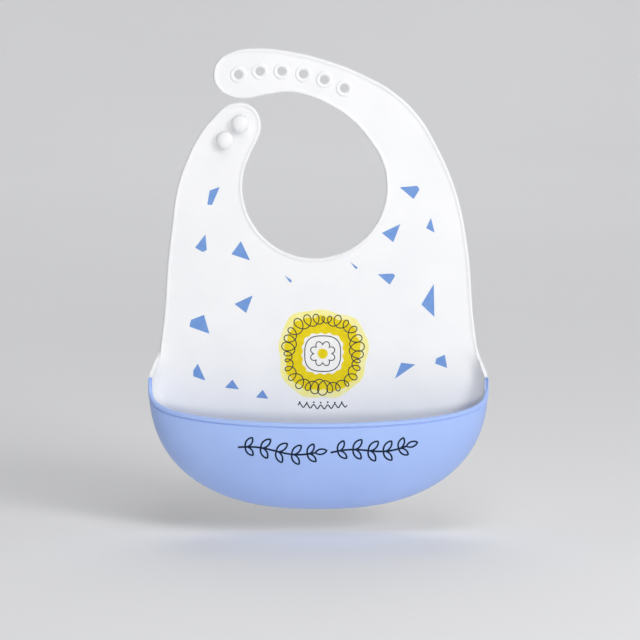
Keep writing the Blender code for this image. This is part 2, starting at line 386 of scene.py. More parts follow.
def open_some(item: bpy.types.Object, mode: str, wanted: Callable[[bpy.types.ID], bool]) -> None:
    """Takes an object into edit mode with some of its parts selected.

    Args:
        item: the object.
        mode: EDGE or FACE.
        wanted: whether a part is selected.
    """
    open_edit(item, select="DESELECT", mode=mode)
    close_edit()
    for part in item.data.edges if mode == "EDGE" else item.data.polygons:
        part.select = wanted(part)
    bpy.ops.object.mode_set(mode="EDIT")


def copied(item: bpy.types.Object) -> bpy.types.Object:
    """A copy of an object, with its own mesh."""
    take_up(item)
    bpy.ops.object.duplicate()
    return bpy.context.object


def apply_modifiers(item: bpy.types.Object) -> None:
    """Applies every modifier of an object, in order."""
    take_up(item)
    for modifier in list(item.modifiers):
        bpy.ops.object.modifier_apply(modifier=modifier.name)


def settle(item: bpy.types.Object) -> None:
    """Moves an object's place, turn and scale into its mesh."""
    take_up(item)
    bpy.ops.object.transform_apply(location=True, rotation=True, scale=True)


def join(items: Sequence[bpy.types.Object], name: str) -> bpy.types.Object:
    """Joins objects into the first of them.

    Args:
        items: the objects.
        name: what the result is called.

    Returns:
        The joined object.
    """
    take_up(*items)
    if len(items) > 1:
        bpy.ops.object.join()
    joined = bpy.context.view_layer.objects.active
    joined.name = name
    return joined


def face_way(item: bpy.types.Object, front: bool, face: bpy.types.MeshPolygon) -> None:
    """Turns an open surface so that one of its faces looks to the front (-Y) or the back (+Y)."""
    if (face.normal.y < 0) != front:
        open_edit(item)
        bpy.ops.mesh.flip_normals()
        close_edit()


def cut(item: bpy.types.Object, point: Vector, normal: Vector, drop: bool = False) -> None:
    """Cuts an object along a plane.

    Args:
        item: the object.
        point: a point of the plane.
        normal: the plane's direction.
        drop: whether what lies along the direction is removed.
    """
    open_edit(item)
    bpy.ops.mesh.bisect(plane_co=point, plane_no=normal, clear_outer=drop, threshold=1e-6)
    close_edit()


def divide(item: bpy.types.Object, bends: Iterable[Bend]) -> None:
    """Divides an object along the rows of every stretch that it bends in."""
    for bend in bends:
        for point, normal in bend.rows():
            cut(item, point, normal)


def wall(item: bpy.types.Object, thickness: float, outward: bool = False) -> None:
    """Gives an open surface a thickness, away from its normals or along them."""
    solidify = item.modifiers.new("wall", "SOLIDIFY")
    solidify.thickness = thickness
    solidify.offset = 1.0 if outward else -1.0
    solidify.use_even_offset = False
    apply_modifiers(item)


def dress(item: bpy.types.Object, name: str, finish: Finish, crease: float) -> None:
    """Names a finished mesh, smooths it and gives it its material.

    Args:
        item: the object.
        name: the piece's name.
        finish: its only finish.
        crease: the angle in degrees past which an edge stays sharp.
    """
    material = finish.material()
    item.name = name
    item.data.name = name
    item.data.materials.clear()
    item.data.materials.append(material)
    take_up(item)
    bpy.ops.object.shade_smooth_by_angle(angle=radians(crease))
    LOG.info("%s: %d faces, %s", name, len(item.data.polygons), material.name)


def quarter_round(share: float) -> float:
    """The rise of a quarter circle, from 0 (steep) at a share of 0 to 1 (level) at a share of 1."""
    return sqrt(max(0.0, 1.0 - (1.0 - share) ** 2))


def ease_down(share: float) -> float:
    """A smooth fall from 1 to 0 as the share goes from 0 to 1."""
    return 0.5 + 0.5 * cos(pi * share)


def polar(centre: Spot, radius: float, angle: float) -> Spot:
    """(x, height) at a distance and in a direction from a centre."""
    return centre[0] + radius * cos(angle), centre[1] + radius * sin(angle)


def closed_curve(spots: Sequence[Spot], steps: int) -> bpy.types.Object:
    """A flat face inside a smooth closed curve through these spots, in the plane y = 0.

    Args:
        spots: (x, height) of each knot, in order.
        steps: how many points the curve gets from one knot to the next.

    Returns:
        The face, which looks back (+Y).
    """
    deselect_all()
    bpy.ops.curve.primitive_bezier_circle_add(radius=0.1)
    guide = bpy.context.object
    guide.data.dimensions = "3D"
    guide.data.resolution_u = steps
    spline = guide.data.splines[0]
    spline.bezier_points.add(len(spots) - len(spline.bezier_points))
    for knot, (x, height) in zip(spline.bezier_points, spots):
        knot.co = (x, 0.0, height + FOOT)
    bpy.ops.object.mode_set(mode="EDIT")
    bpy.ops.curve.select_all(action="SELECT")
    bpy.ops.curve.handle_type_set(type="AUTOMATIC")
    close_edit()
    bpy.ops.object.convert(target="MESH")
    face = bpy.context.object
    open_edit(face, mode="VERT")
    bpy.ops.mesh.remove_doubles(threshold=0.0001)
    bpy.ops.mesh.select_all(action="SELECT")
    bpy.ops.mesh.edge_face_add()
    close_edit()
    face_way(face, False, face.data.polygons[0])
    return face


def flat_shape(spots: Sequence[Spot], name: str) -> bpy.types.Object:
    """A flat face with these corners, in the plane y = 0, which looks to the front."""
    deselect_all()
    bpy.ops.mesh.primitive_circle_add(vertices=len(spots), radius=0.01, fill_type="NGON")
    shape = bpy.context.object
    shape.name = name
    for corner, (x, height) in zip(shape.data.vertices, spots):
        corner.co = (x, 0.0, height + FOOT)
    shape.data.update()
    face_way(shape, True, shape.data.polygons[0])
    return shape


def drawn_line(
    spots: Sequence[Spot], width: float, rise: float, name: str, closed: bool = False
) -> bpy.types.Object:
    """A flattened round line through spots, as an ink stroke about the plane y = 0.

    Args:
        spots: (x, height) of each point of the line.
        width: the stroke's width.
        rise: how far it stands out in front and behind its middle.
        name: what the object is called.
        closed: whether the line joins its own start.

    Returns:
        The stroke as a mesh.
    """
    deselect_all()
    bpy.ops.curve.primitive_nurbs_path_add(radius=0.1)
    path = bpy.context.object
    path.name = name
    path.data.splines.clear()
    path.data.dimensions = "3D"
    path.data.bevel_depth = width / 2
    path.data.bevel_resolution = 1
    path.data.use_fill_caps = True
    spline = path.data.splines.new("POLY")
    spline.points.add(len(spots) - 1)
    for knot, (x, height) in zip(spline.points, spots):
        knot.co = (x, 0.0, height + FOOT, 1.0)
    spline.use_cyclic_u = closed
    bpy.ops.object.convert(target="MESH")
    stroke = bpy.context.object
    flat = rise / (width / 2)
    for corner in stroke.data.vertices:
        corner.co.y *= flat
    open_edit(stroke, mode="VERT")
    bpy.ops.mesh.remove_doubles(threshold=0.00001)
    bpy.ops.mesh.select_all(action="SELECT")
    bpy.ops.mesh.normals_make_consistent(inside=False)
    close_edit()
    return stroke


def push_forward(item: bpy.types.Object, depth: Callable[[float, float], float]) -> None:
    """Moves each point of an object by the depth found at its own x and z."""
    for corner in item.data.vertices:
        corner.co.y += depth(corner.co.x, corner.co.z)
    item.data.update()


# ---------------------------------------------------------------- the white sheet


@dataclass
class Silhouette:
    """The bib's outline, drawn once: rounded lower edge, sides, long strap, neck, button end."""

    half_width: float = 0.1138
    corner_height: float = 0.088
    edge_power: float = 2.45
    edge_steps: int = 18
    neck: Spot = NAPE_CENTRE
    neck_radius: float = 0.048
    neck_start: float = 40.0
    neck_sweep: float = 247.0
    neck_knots: int = 14
    knot_steps: int = 9
    right_side: list[Spot] = field(default_factory=lambda: [
        (0.1118, 0.0945), (0.1073, 0.1065), (0.1050, 0.1200), (0.1033, 0.1355), (0.1013, 0.1640),
        (0.0983, 0.1860), (0.0938, 0.2070), (0.0875, 0.2255), (0.0788, 0.2440), (0.0675, 0.2628),
        (0.0515, 0.2788), (0.0300, 0.2912), (0.0050, 0.3010), (-0.0200, 0.3070), (-0.0410, 0.3090),
    ])
    strap_tip: list[Spot] = field(default_factory=lambda: [
        (-0.0570, 0.3068), (-0.0668, 0.3008), (-0.0700, 0.2912), (-0.0673, 0.2828), (-0.0600, 0.2772),
        (-0.0500, 0.2754), (-0.0350, 0.2779), (-0.0210, 0.2797), (-0.0080, 0.2775), (0.0080, 0.2707),
        (0.0235, 0.2597),
    ])
    button_end: list[Spot] = field(default_factory=lambda: [
        (-0.0411, 0.2470), (-0.0384, 0.2557), (-0.0401, 0.2652), (-0.0460, 0.2712),
        (-0.0545, 0.2727), (-0.0625, 0.2700), (-0.0703, 0.2628),
    ])
    left_side: list[Spot] = field(default_factory=lambda: [
        (-0.0800, 0.2505), (-0.0880, 0.2345), (-0.0945, 0.2155), (-0.0983, 0.1900),
    ])
    like_sides: int = 5

    def lower_edge(self, angle: float) -> Spot:
        """(x, height) on the rounded lower edge, at -pi/2 to pi/2 from its middle."""
        power = 2.0 / self.edge_power
        side = self.half_width * abs(sin(angle)) ** power
        height = self.corner_height * (1.0 - abs(cos(angle)) ** power)
        return (side if angle > 0 else -side), height

    def knots(self) -> list[Spot]:
        """Every knot of the outline, counter-clockwise from the front."""
        turns = [-pi / 2 + pi * step / self.edge_steps for step in range(self.edge_steps + 1)]
        spots = [self.lower_edge(turn) for turn in turns] + self.right_side + self.strap_tip
        for step in range(self.neck_knots):
            angle = radians(self.neck_start - self.neck_sweep * step / (self.neck_knots - 1))
            spots.append(polar(self.neck, self.neck_radius, angle))
        mirrored = [(-x, height) for x, height in reversed(self.right_side[:self.like_sides])]
        return spots + self.button_end + self.left_side + mirrored

    def face(self) -> bpy.types.Object:
        """The whole outline as one flat face."""
        return closed_curve(self.knots(), self.knot_steps)


@dataclass
class SheetMoulding:
    """The white sheet: a raised bead along its edge, and a lower edge that curls forward.

    The flat outline gets rings along its edge, is cut into four pieces and is divided where it
    bends. A wall is then added and pressed into the bead's section.
    """

    outline: Silhouette
    bead_width: float = 0.0031
    bead_crest: float = 0.0012
    bead_rise: float = 0.00048
    edge_depth: float = 0.0011
    bead_fade: float = 1.6
    back_round: float = 0.0008
    curl_depth: float = 0.0120
    curl_fade: float = 0.0245
    rings: tuple[float, ...] = (
        0.00012, 0.00035, 0.0007, 0.0011, 0.0015, 0.0019, 0.0023, 0.0027, 0.0031, 0.0036,
    )
    curl_rings: tuple[float, ...] = (0.0050, 0.0064, 0.0080, 0.0100, 0.0122)
    hole_spots: list[Spot] = field(default_factory=list)
    hole_radius: float = 0.0029
    border: tuple[np.ndarray, np.ndarray] | None = None

    def ringed(self, face: bpy.types.Object, distances: Sequence[float], before: float = 0.0) -> None:
        """Adds rings inside an object's widest face.

        Args:
            face: the object.
            distances: how far each ring is from the edge.
            before: how far the widest face's own edge is.
        """
        widest = max(face.data.polygons, key=lambda polygon: polygon.area).index
        open_some(face, "FACE", lambda polygon: polygon.index == widest)
        for distance in distances:
            bpy.ops.mesh.inset(thickness=distance - before, use_boundary=True, use_even_offset=True)
            before = distance
        close_edit()

    def remember_border(self, face: bpy.types.Object) -> None:
        """Keeps the outline's edges, for the distance of any point to them."""
        points = np.array([corner.co for corner in face.data.vertices], float)
        edges = np.array([edge.vertices[:] for edge in face.data.edges], int)
        self.border = (points[edges[:, 0]], points[edges[:, 1]])

    def edge_distances(self, points: np.ndarray) -> np.ndarray:
        """How far each point of the flat sheet is from the outline."""
        start, end = self.border
        along = end - start
        length = (along**2).sum(1)
        nearest = np.full(len(points), 1e9)
        for first in range(0, len(points), 2000):
            gap = points[first:first + 2000, None, :] - start[None]
            share = np.clip((gap * along[None]).sum(2) / length[None], 0.0, 1.0)
            apart = gap - share[..., None] * along[None]
            nearest[first:first + 2000] = np.sqrt((apart**2).sum(2)).min(1)
        return nearest

    def curl_strength(self, height: float) -> float:
        """How fully the edge is curled at a height: 1 at the pocket, 0 on the flat sides."""
        above = (height - self.outline.corner_height) / self.curl_fade
        if above >= 1.0:
            return 0.0
        return 1.0 if above <= 0.0 else ease_down(above)

    def front_depth(self, inward: float, bead: float) -> float:
        """How far the front stands out from the flat back, at a distance from the edge.

        Args:
            inward: the distance from the edge, along the surface.
            bead: 1 where the bead is whole, 0 where the sheet has none.

        Returns:
            The depth.
        """
        crest = SHEET + self.bead_rise
        if inward < self.bead_crest:
            full = self.edge_depth + (crest - self.edge_depth) * quarter_round(inward / self.bead_crest)
        elif inward < self.bead_width:
            share = (inward - self.bead_crest) / (self.bead_width - self.bead_crest)
            full = SHEET + self.bead_rise * ease_down(share)
        else:
            full = SHEET
        return SHEET + (full - SHEET) * bead

    def back_depth(self, inward: float, bead: float) -> float:
        """How far the back is set in at a distance from the edge, as a small rounding."""
        if inward >= self.back_round:
            return 0.0
        return bead * self.back_round * (1.0 - quarter_round(inward / self.back_round))

    def mould(self, item: bpy.types.Object) -> None:
        """Curls a flat piece, adds its wall and presses the bead into it."""
        flat = np.array([corner.co for corner in item.data.vertices], float)
        apart = self.edge_distances(flat)
        inward, beads = [], []
        for corner, gap in zip(item.data.vertices, apart):
            strength = self.curl_strength(corner.co.z - FOOT)
            reach, run = 0.0, gap
            if strength > 0.0 and gap < self.curl_depth:
                share = gap / self.curl_depth
                reach = self.curl_depth * strength * (1.0 - quarter_round(share))
                run = gap + (self.curl_depth * acos(1.0 - share) - gap) * strength
            corner.co.y = -reach
            inward.append(run)
            beads.append(max(0.0, 1.0 - strength * self.bead_fade))
        item.data.update()
        wall(item, SHEET)
        corners, count = item.data.vertices, len(flat)
        if len(corners) != 2 * count:
            raise ValueError(f"{item.name}: the wall has {len(corners)} points, not {2 * count}")
        for number in range(count):
            back, front = corners[number], corners[count + number]
            way = (front.co - back.co) / SHEET
            run, bead = inward[number], beads[number]
            foot = back.co.copy()
            back.co = foot + way * self.back_depth(run, bead)
            front.co = foot + way * self.front_depth(run, bead)
        item.data.update()

    def pierce(self, item: bpy.types.Object) -> None:
        """Cuts the round holes through a piece."""
        rods = []
        for x, height in self.hole_spots:
            deselect_all()
            bpy.ops.mesh.primitive_cylinder_add(
                vertices=48, radius=self.hole_radius, depth=0.012,
                location=(x, -SHEET / 2, height + FOOT), rotation=(radians(90), 0.0, 0.0),
            )
            rods.append(bpy.context.object)
        cutter = join(rods, "hole_rods")
        boolean = item.modifiers.new("holes", "BOOLEAN")
        boolean.operation = "DIFFERENCE"
        boolean.solver = "EXACT"
        boolean.object = cutter
        apply_modifiers(item)
        bpy.data.objects.remove(cutter)

    def build(self) -> None:
        """Makes the four pieces of the sheet and divides each along its stretch's rows."""
        whole = self.outline.face()
        self.remember_border(whole)
        self.ringed(whole, self.rings)
        seam = Vector((0.0, 0.0, SHOULDER_SEAM + FOOT))
        up = Vector((0.0, 0.0, 1.0))

        straps = copied(whole)
        cut(straps, seam, -up, drop=True)
        open_edit(straps)
        bpy.ops.mesh.separate(type="LOOSE")
        close_edit()
        arms = sorted(bpy.context.selected_objects, key=lambda arm: arm.bound_box[4][0])
        button_arm, hole_arm = arms[0], arms[-1]

        hole_end = copied(hole_arm)
        away = Vector((NAPE_AWAY[0], 0.0, NAPE_AWAY[1]))
        line = Vector((NAPE_CENTRE[0], 0.0, NAPE_CENTRE[1] + FOOT)) + away * NAPE_SEAM
        cut(hole_arm, line, away, drop=True)
        cut(hole_end, line, -away, drop=True)

        sheet = whole
        self.ringed(sheet, self.curl_rings, self.rings[-1])
        cut(sheet, seam, up, drop=True)

        plan = [
            (sheet, "bib_sheet", PANEL_FOLD, ("chest_panel", "lower_panel")),
            (button_arm, "button_strap_sheet", BUTTON_STRAP_BEND, ("button_strap",)),
            (hole_arm, "hole_strap_sheet", HOLE_STRAP_BEND, ("hole_strap",)),
            (hole_end, "hole_strap_end_sheet", NAPE_BEND, ("hole_strap_end",)),
        ]
        for item, name, bend, nodes in plan:
            divide(item, [bend])
            self.mould(item)
            if item is hole_end:
                self.pierce(item)
            dress(item, name, WHITE_SILICONE, 50)
            bend.hold(item)
            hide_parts(*nodes)


@dataclass
class HoleRow:
    """The six adjustment holes on an arc, each inside a soft raised lip."""

    count: int = 6
    centre: Spot = (-0.0306, 0.1892)
    radius: float = 0.1047
    first_angle: float = 102.5
    step_angle: float = -7.92
    lip_middle: float = 0.00425
    lip_half: float = 0.00128
    lip_rise: float = 0.00052

    def spots(self) -> list[Spot]:
        """(x, height) of each hole, from the strap's tip."""
        angles = [radians(self.first_angle + self.step_angle * number) for number in range(self.count)]
        return [polar(self.centre, self.radius, angle) for angle in angles]

    def build(self) -> None:
        """Makes the lips, one modelled and the others copied from it."""
        deselect_all()
        bpy.ops.mesh.primitive_torus_add(
            major_radius=self.lip_middle, minor_radius=self.lip_half,
            major_segments=56, minor_segments=16,
        )
        first = bpy.context.object
        first.scale.z = self.lip_rise / self.lip_half
        first.rotation_euler.x = radians(90)
        settle(first)
        lips = []
        for x, height in self.spots():
            lip = copied(first)
            lip.location = (x, -SHEET, height + FOOT)
            settle(lip)
            lips.append(lip)
        bpy.data.objects.remove(first)
        ring = join(lips, "hole_lips")
        dress(ring, "hole_lips", WHITE_SILICONE, 60)
        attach(ring, Body.HOLE_STRAP_END.value)


@dataclass
class Stud:
    """A mushroom button on the short strap: a foot that fills its hole, a neck and a domed head."""

    name: str
    place: Spot
    replaces: str
    head_radius: float = 0.0059
    head_rise: float = 0.0058
    neck_radius: float = 0.0029
    rim_height: float = 0.0031
    sides: int = 64
    dome_steps: int = 12

    def section(self) -> list[tuple[float, float]]:
        """(radius, rise above the sheet's front) from the back of the strap to the crown."""
        steps = [
            (self.neck_radius + 0.0006, 0.0002 - SHEET), (self.neck_radius + 0.0006, -0.0002),
            (self.neck_radius + 0.0013, -0.00005), (self.neck_radius + 0.0007, 0.0002),
            (self.neck_radius + 0.0002, 0.0007), (self.neck_radius, 0.0013), (self.neck_radius, 0.0020),
            (self.neck_radius + 0.0003, 0.0024), (self.neck_radius + 0.0010, 0.0026),
            (self.head_radius - 0.0010, 0.0026), (self.head_radius - 0.0004, 0.0027),
            (self.head_radius - 0.0001, 0.0029),
        ]
        for step in range(self.dome_steps):
            turn = radians(90) * (1 - step / self.dome_steps)
            rise = self.rim_height + (self.head_rise - self.rim_height) * cos(turn) ** 1.15
            steps.append((self.head_radius * sin(turn) ** 0.82, rise))
        return steps

    def build(self) -> None:
        """Draws the section up from a disc, one extrusion at a time."""
        steps = self.section()
        deselect_all()
        bpy.ops.mesh.primitive_circle_add(
            vertices=self.sides, radius=steps[0][0], fill_type="NGON", location=(0.0, 0.0, steps[0][1])
        )
        stud = bpy.context.object
        settle(stud)
        open_edit(stud)
        for (before, low), (radius, high) in zip(steps, steps[1:]):
            bpy.ops.mesh.extrude_region_move(TRANSFORM_OT_translate={"value": (0.0, 0.0, high - low)})
            share = radius / before
            bpy.ops.transform.resize(value=(share, share, 1.0), center_override=(0.0, 0.0, high))
        bpy.ops.mesh.poke()
        bpy.ops.mesh.select_all(action="SELECT")
        bpy.ops.mesh.normals_make_consistent(inside=False)
        close_edit()
        crown = max(stud.data.vertices, key=lambda corner: corner.co.z - 10 * corner.co.xy.length)
        crown.co.z = self.head_rise
        stud.rotation_euler.x = radians(90)
        stud.location = (self.place[0], -SHEET, self.place[1] + FOOT)
        settle(stud)
        dress(stud, self.name, BUTTON_SILICONE, 55)
        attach(stud, Body.BUTTON_STRAP.value)
        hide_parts(self.replaces)


# ---------------------------------------------------------------- the blue pocket


@dataclass
class ScoopPocket:
    """The blue wall from the curled edge round the belly and up to a beaded rim."""

    outline: Silhouette
    wall: float = 0.0022
    seam_depth: float = 0.0121
    rim_half_width: float = 0.1131
    rim_corner: Spot = (0.0155, 0.0900)
    rim_middle: Spot = (0.046, 0.0640)
    rim_bow: float = 0.0057
    corner_power: float = 5.3
    crowding: float = 1.5
    columns: int = 168
    belly_rows: int = 22
    samples: int = 160
    rim_room: float = 0.62
    rim_round: float = 0.0013
    rim_edge: float = 0.0011
    bead_end: float = 0.0025
    bead_rise: float = 0.00065
    groove_start: float = 0.0032
    groove_end: float = 0.0042
    groove: float = 0.00070
    seam_width: float = 0.0004
    seam_drop: float = 0.00022
    rim_rows: tuple[float, ...] = (
        0.0, 0.00012, 0.0004, 0.0008, 0.0012, 0.0017, 0.0022, 0.00255, 0.0028, 0.0030, 0.0032, 0.0034,
        0.0037, 0.0041, 0.0047, 0.0056,
    )
    piece: bpy.types.Object | None = None

    def rim_point(self, angle: float) -> Vector:
        """A point of the rim, at -pi/2 to pi/2: an oval mouth that rises steeply at its two corners."""
        side = min(1.0, abs(sin(angle)))
        forward = max(0.0, cos(angle))
        turned_up = 1.0 - max(0.0, 1.0 - side**self.corner_power) ** (1.0 / self.corner_power)
        steep = self.rim_corner[1] - self.rim_middle[1] - self.rim_bow
        depth = self.rim_corner[0] + (self.rim_middle[0] - self.rim_corner[0]) * forward
        height = self.rim_middle[1] + self.rim_bow * side * side + steep * turned_up
        return Vector((self.rim_half_width * (side if angle > 0 else -side), -depth, height + FOOT))

    def point(self, across: float, up: float) -> Vector:
        """A point of the wall's outside: across from -1 to 1, up from 0 at the seam to 1 at the rim."""
        crowded = 1.0 - (1.0 - min(1.0, abs(across))) ** self.crowding
        angle = (crowded if across > 0 else -crowded) * pi / 2
        edge_x, edge_height = self.outline.lower_edge(angle)
        seam = Vector((edge_x, -self.seam_depth, edge_height + FOOT))
        rim = self.rim_point(angle)
        forward, upward = sin(up * pi / 2), 1.0 - cos(up * pi / 2)
        return Vector((
            seam.x + (rim.x - seam.x) * upward,
            seam.y + (rim.y - seam.y) * forward,
            seam.z + (rim.z - seam.z) * upward,
        ))

    def column(self, across: float) -> list[tuple[Vector, float, float, float]]:
        """One strip of the wall, from the seam to the rim.

        Args:
            across: where the strip is, from -1 to 1.

        Returns:
            For each row, its point, its distances from the rim and the seam, and the bead's share.
        """
        samples = [self.point(across, step / self.samples) for step in range(self.samples + 1)]
        runs = [0.0]
        for before, after in zip(samples, samples[1:]):
            runs.append(runs[-1] + (after - before).length)
        total = runs[-1]
        squeeze = min(1.0, self.rim_room * total / self.rim_rows[-1])
        stops = [total - gap * squeeze for gap in self.rim_rows]
        lowest = stops[-1]
        seam_rows = [0.0, 0.00012 * squeeze, 0.0004 * squeeze]
        for step in range(1, self.belly_rows):
            stops.append(seam_rows[-1] + (lowest - seam_rows[-1]) * step / self.belly_rows)
        stops = sorted(stops + seam_rows)
        found = []
        for stop in stops:
            up = float(np.interp(stop, runs, np.linspace(0.0, 1.0, len(runs))))
            found.append((self.point(across, up), (total - stop) / squeeze, stop / squeeze, squeeze))
        return found

    def outer_rise(self, from_rim: float, from_seam: float) -> float:
        """How far the outside stands out at a distance from the rim and from the seam."""
        if from_rim < self.rim_round:
            crest = self.rim_edge + self.bead_rise
            return crest * quarter_round(from_rim / self.rim_round) - self.rim_edge
        if from_rim < self.bead_end:
            return self.bead_rise
        if from_rim < self.groove_start:
            share = (from_rim - self.bead_end) / (self.groove_start - self.bead_end)
            return (self.bead_rise + self.groove) * ease_down(share) - self.groove
        if from_rim < self.groove_end:
            share = (from_rim - self.groove_start) / (self.groove_end - self.groove_start)
            return -self.groove * ease_down(share)
        if from_seam < self.seam_width:
            return -self.seam_drop * (1.0 - from_seam / self.seam_width)
        return 0.0

    def inner_rise(self, from_rim: float) -> float:
        """How far the inside is set in at a distance from the rim."""
        if from_rim < self.rim_round:
            return self.wall - self.rim_edge * (1.0 - quarter_round(from_rim / self.rim_round))
        return self.wall

    def build(self) -> None:
        """Makes the wall from a grid and presses its rim and its parting line."""
        strips = [self.column(-1.0 + 2.0 * step / self.columns) for step in range(self.columns + 1)]
        rows = len(strips[0])
        deselect_all()
        bpy.ops.mesh.primitive_grid_add(x_subdivisions=rows - 1, y_subdivisions=self.columns, size=2.0)
        pocket = bpy.context.object
        spans = []
        for corner in pocket.data.vertices:
            row = round((corner.co.x + 1.0) / 2.0 * (rows - 1))
            strip = round((corner.co.y + 1.0) / 2.0 * self.columns)
            corner.co = strips[strip][row][0]
            spans.append(strips[strip][row][1:])
        pocket.data.update()
        face_way(pocket, True, min(pocket.data.polygons, key=lambda face: face.center.y))
        wall(pocket, self.wall)
        corners, count = pocket.data.vertices, len(spans)
        for number, (from_rim, from_seam, share) in enumerate(spans):
            outer, inner = corners[number], corners[count + number]
            way = (inner.co - outer.co) / self.wall
            place = outer.co.copy()
            outer.co = place - way * self.outer_rise(from_rim, from_seam) * (0.25 + 0.75 * share)
            inner.co = place + way * self.inner_rise(from_rim)
        pocket.data.update()
        dress(pocket, "scoop_pocket", BLUE_SILICONE, 50)
        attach(pocket, Body.POCKET.value)
        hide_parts("food_pocket")
        self.piece = pocket

    def depth_finder(self) -> Callable[[float, float], float]:
        """A function that finds the y of the pocket's outside in front of an x and z."""
        tree = BVHTree.FromPolygons(
            [corner.co.copy() for corner in self.piece.data.vertices],
            [tuple(face.vertices) for face in self.piece.data.polygons],
        )

        def depth(x: float, z: float) -> float:
            """The y of the outside at x and z."""
            hit = tree.ray_cast(Vector((x, -0.2, z)), Vector((0.0, 1.0, 0.0)))
            return hit[0].y if hit[0] is not None else -self.rim_middle[0]

        return depth


# ---------------------------------------------------------------- prints


@dataclass
class SheetPrint:
    """Ink on the front of the sheet, in thin layers that follow it."""

    lift: float = 0.00001
    ink: float = 0.00005

    def lay(
        self, item: bpy.types.Object, name: str, finish: Finish, slot: Slot, bend: Bend | None,
        layer: float = 0.0, flat: bool = True,
    ) -> None:
        """Lays a shape on the sheet as a piece.

        Args:
            item: a flat shape or a stroke, at the plane y = 0.
            name: the piece's name.
            finish: its ink.
            slot: the record's slot for the ink; not used.
            bend: the stretch whose rows divide it; without one it rides on the pocket's body.
            layer: how many layers of ink lie under it.
            flat: whether it's a flat shape, which needs a thickness.
        """
        if bend is not None:
            divide(item, [bend])
        depth = -SHEET - (self.lift + layer * self.ink)
        push_forward(item, lambda _x, _z: depth)
        if flat:
            wall(item, self.ink, outward=True)
        dress(item, name, finish, 40 if flat else 60)
        if bend is not None:
            bend.hold(item)
        else:
            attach(item, Body.POCKET.value)


@dataclass
class ConfettiPrint(SheetPrint):
    """Small chips of blue ink scattered over the sheet, with softly rounded corners."""

    ink: float = 0.00006
    corner_round: float = 0.0004
    swell: float = 1.06
    stretch: float = 1.0045
    shift: float = 0.0004
    panel_chips: list[list[Spot]] = field(default_factory=lambda: [
        [(-0.0757, 0.1830), (-0.0749, 0.1731), (-0.0774, 0.1718), (-0.0823, 0.1746)],
        [(-0.0519, 0.1785), (-0.0461, 0.1662), (-0.0580, 0.1702)],
        [(0.0752, 0.1942), (0.0775, 0.1848), (0.0721, 0.1877)],
        [(0.0544, 0.1900), (0.0500, 0.1785), (0.0427, 0.1844)],
        [(-0.0226, 0.1558), (-0.0180, 0.1526), (-0.0184, 0.1510), (-0.0195, 0.1516)],
        [(-0.0444, 0.1421), (-0.0486, 0.1309), (-0.0560, 0.1367)],
        [(-0.0770, 0.1290), (-0.0736, 0.1169), (-0.0863, 0.1215), (-0.0853, 0.1258)],
        [(-0.0811, 0.0960), (-0.0763, 0.0852), (-0.0841, 0.0879), (-0.0840, 0.0918)],
        [(-0.0579, 0.0854), (-0.0537, 0.0790), (-0.0627, 0.0802)],
        [(-0.0375, 0.0785), (-0.0340, 0.0727), (-0.0420, 0.0735)],
        [(0.0215, 0.1647), (0.0261, 0.1613), (0.0256, 0.1601), (0.0243, 0.1609)],
        [(0.0401, 0.1565), (0.0500, 0.1570), (0.0511, 0.1555), (0.0477, 0.1499)],
        [(0.0771, 0.1495), (0.0776, 0.1284), (0.0693, 0.1364)],
        [(0.0847, 0.1022), (0.0863, 0.0937), (0.0787, 0.0964), (0.0792, 0.0997)],
        [(0.0557, 0.0968), (0.0647, 0.0956), (0.0517, 0.0865)],
    ])
    button_strap_chips: list[list[Spot]] = field(default_factory=lambda: [
        [(-0.0726, 0.2125), (-0.0662, 0.2148), (-0.0711, 0.2034), (-0.0741, 0.2036)],
    ])
    hole_strap_chips: list[list[Spot]] = field(default_factory=lambda: [
        [(0.0547, 0.2148), (0.0657, 0.2157), (0.0672, 0.2135), (0.0635, 0.2073)],
    ])

    def group(self, chips: list[list[Spot]], name: str, bend: Bend) -> None:
        """Prints some chips as one piece, divided along its stretch's rows.

        Args:
            chips: the corners of each chip, before they swell a little about their middles.
            name: the piece's name.
            bend: the stretch whose rows divide it.
        """
        shapes = []
        for number, corners in enumerate(chips):
            x_middle, middle = (sum(values) / len(corners) for values in zip(*corners))
            spots = [
                (
                    x_middle + (x - x_middle) * self.swell,
                    (middle + (height - middle) * self.swell) * self.stretch + self.shift,
                )
                for x, height in corners
            ]
            shape = flat_shape(spots, f"{name}_{number}")
            open_edit(shape, mode="VERT")
            bpy.ops.mesh.bevel(affect="VERTICES", offset=self.corner_round, segments=3, profile=0.5)
            close_edit()
            shapes.append(shape)
        self.lay(join(shapes, name), name, CHIP_INK, Slot.CHIP_INK, bend)

    def build(self) -> None:
        """Prints every chip."""
        self.group(self.panel_chips, "confetti_on_panel", PANEL_FOLD)
        self.group(self.button_strap_chips, "confetti_on_button_strap", BUTTON_STRAP_BEND)
        self.group(self.hole_strap_chips, "confetti_on_hole_strap", HOLE_STRAP_BEND)


def wobbly_ring(
    centre: Spot, radius: float, sides: int, waves: Sequence[tuple[int, float, float]] = ()
) -> list[Spot]:
    """Spots round a centre, with a hand-drawn wobble.

    Args:
        centre: (x, height) of the middle.
        radius: the mean radius.
        sides: how many spots.
        waves: for each wobble, how many times it goes round, its share of the radius and its start.

    Returns:
        The spots, counter-clockwise.
    """
    found = []
    for step in range(sides):
        angle = 2 * pi * step / sides
        wobble = 1.0 + sum(share * sin(times * angle + start) for times, share, start in waves)
        found.append(polar(centre, radius * wobble, angle))
    return found


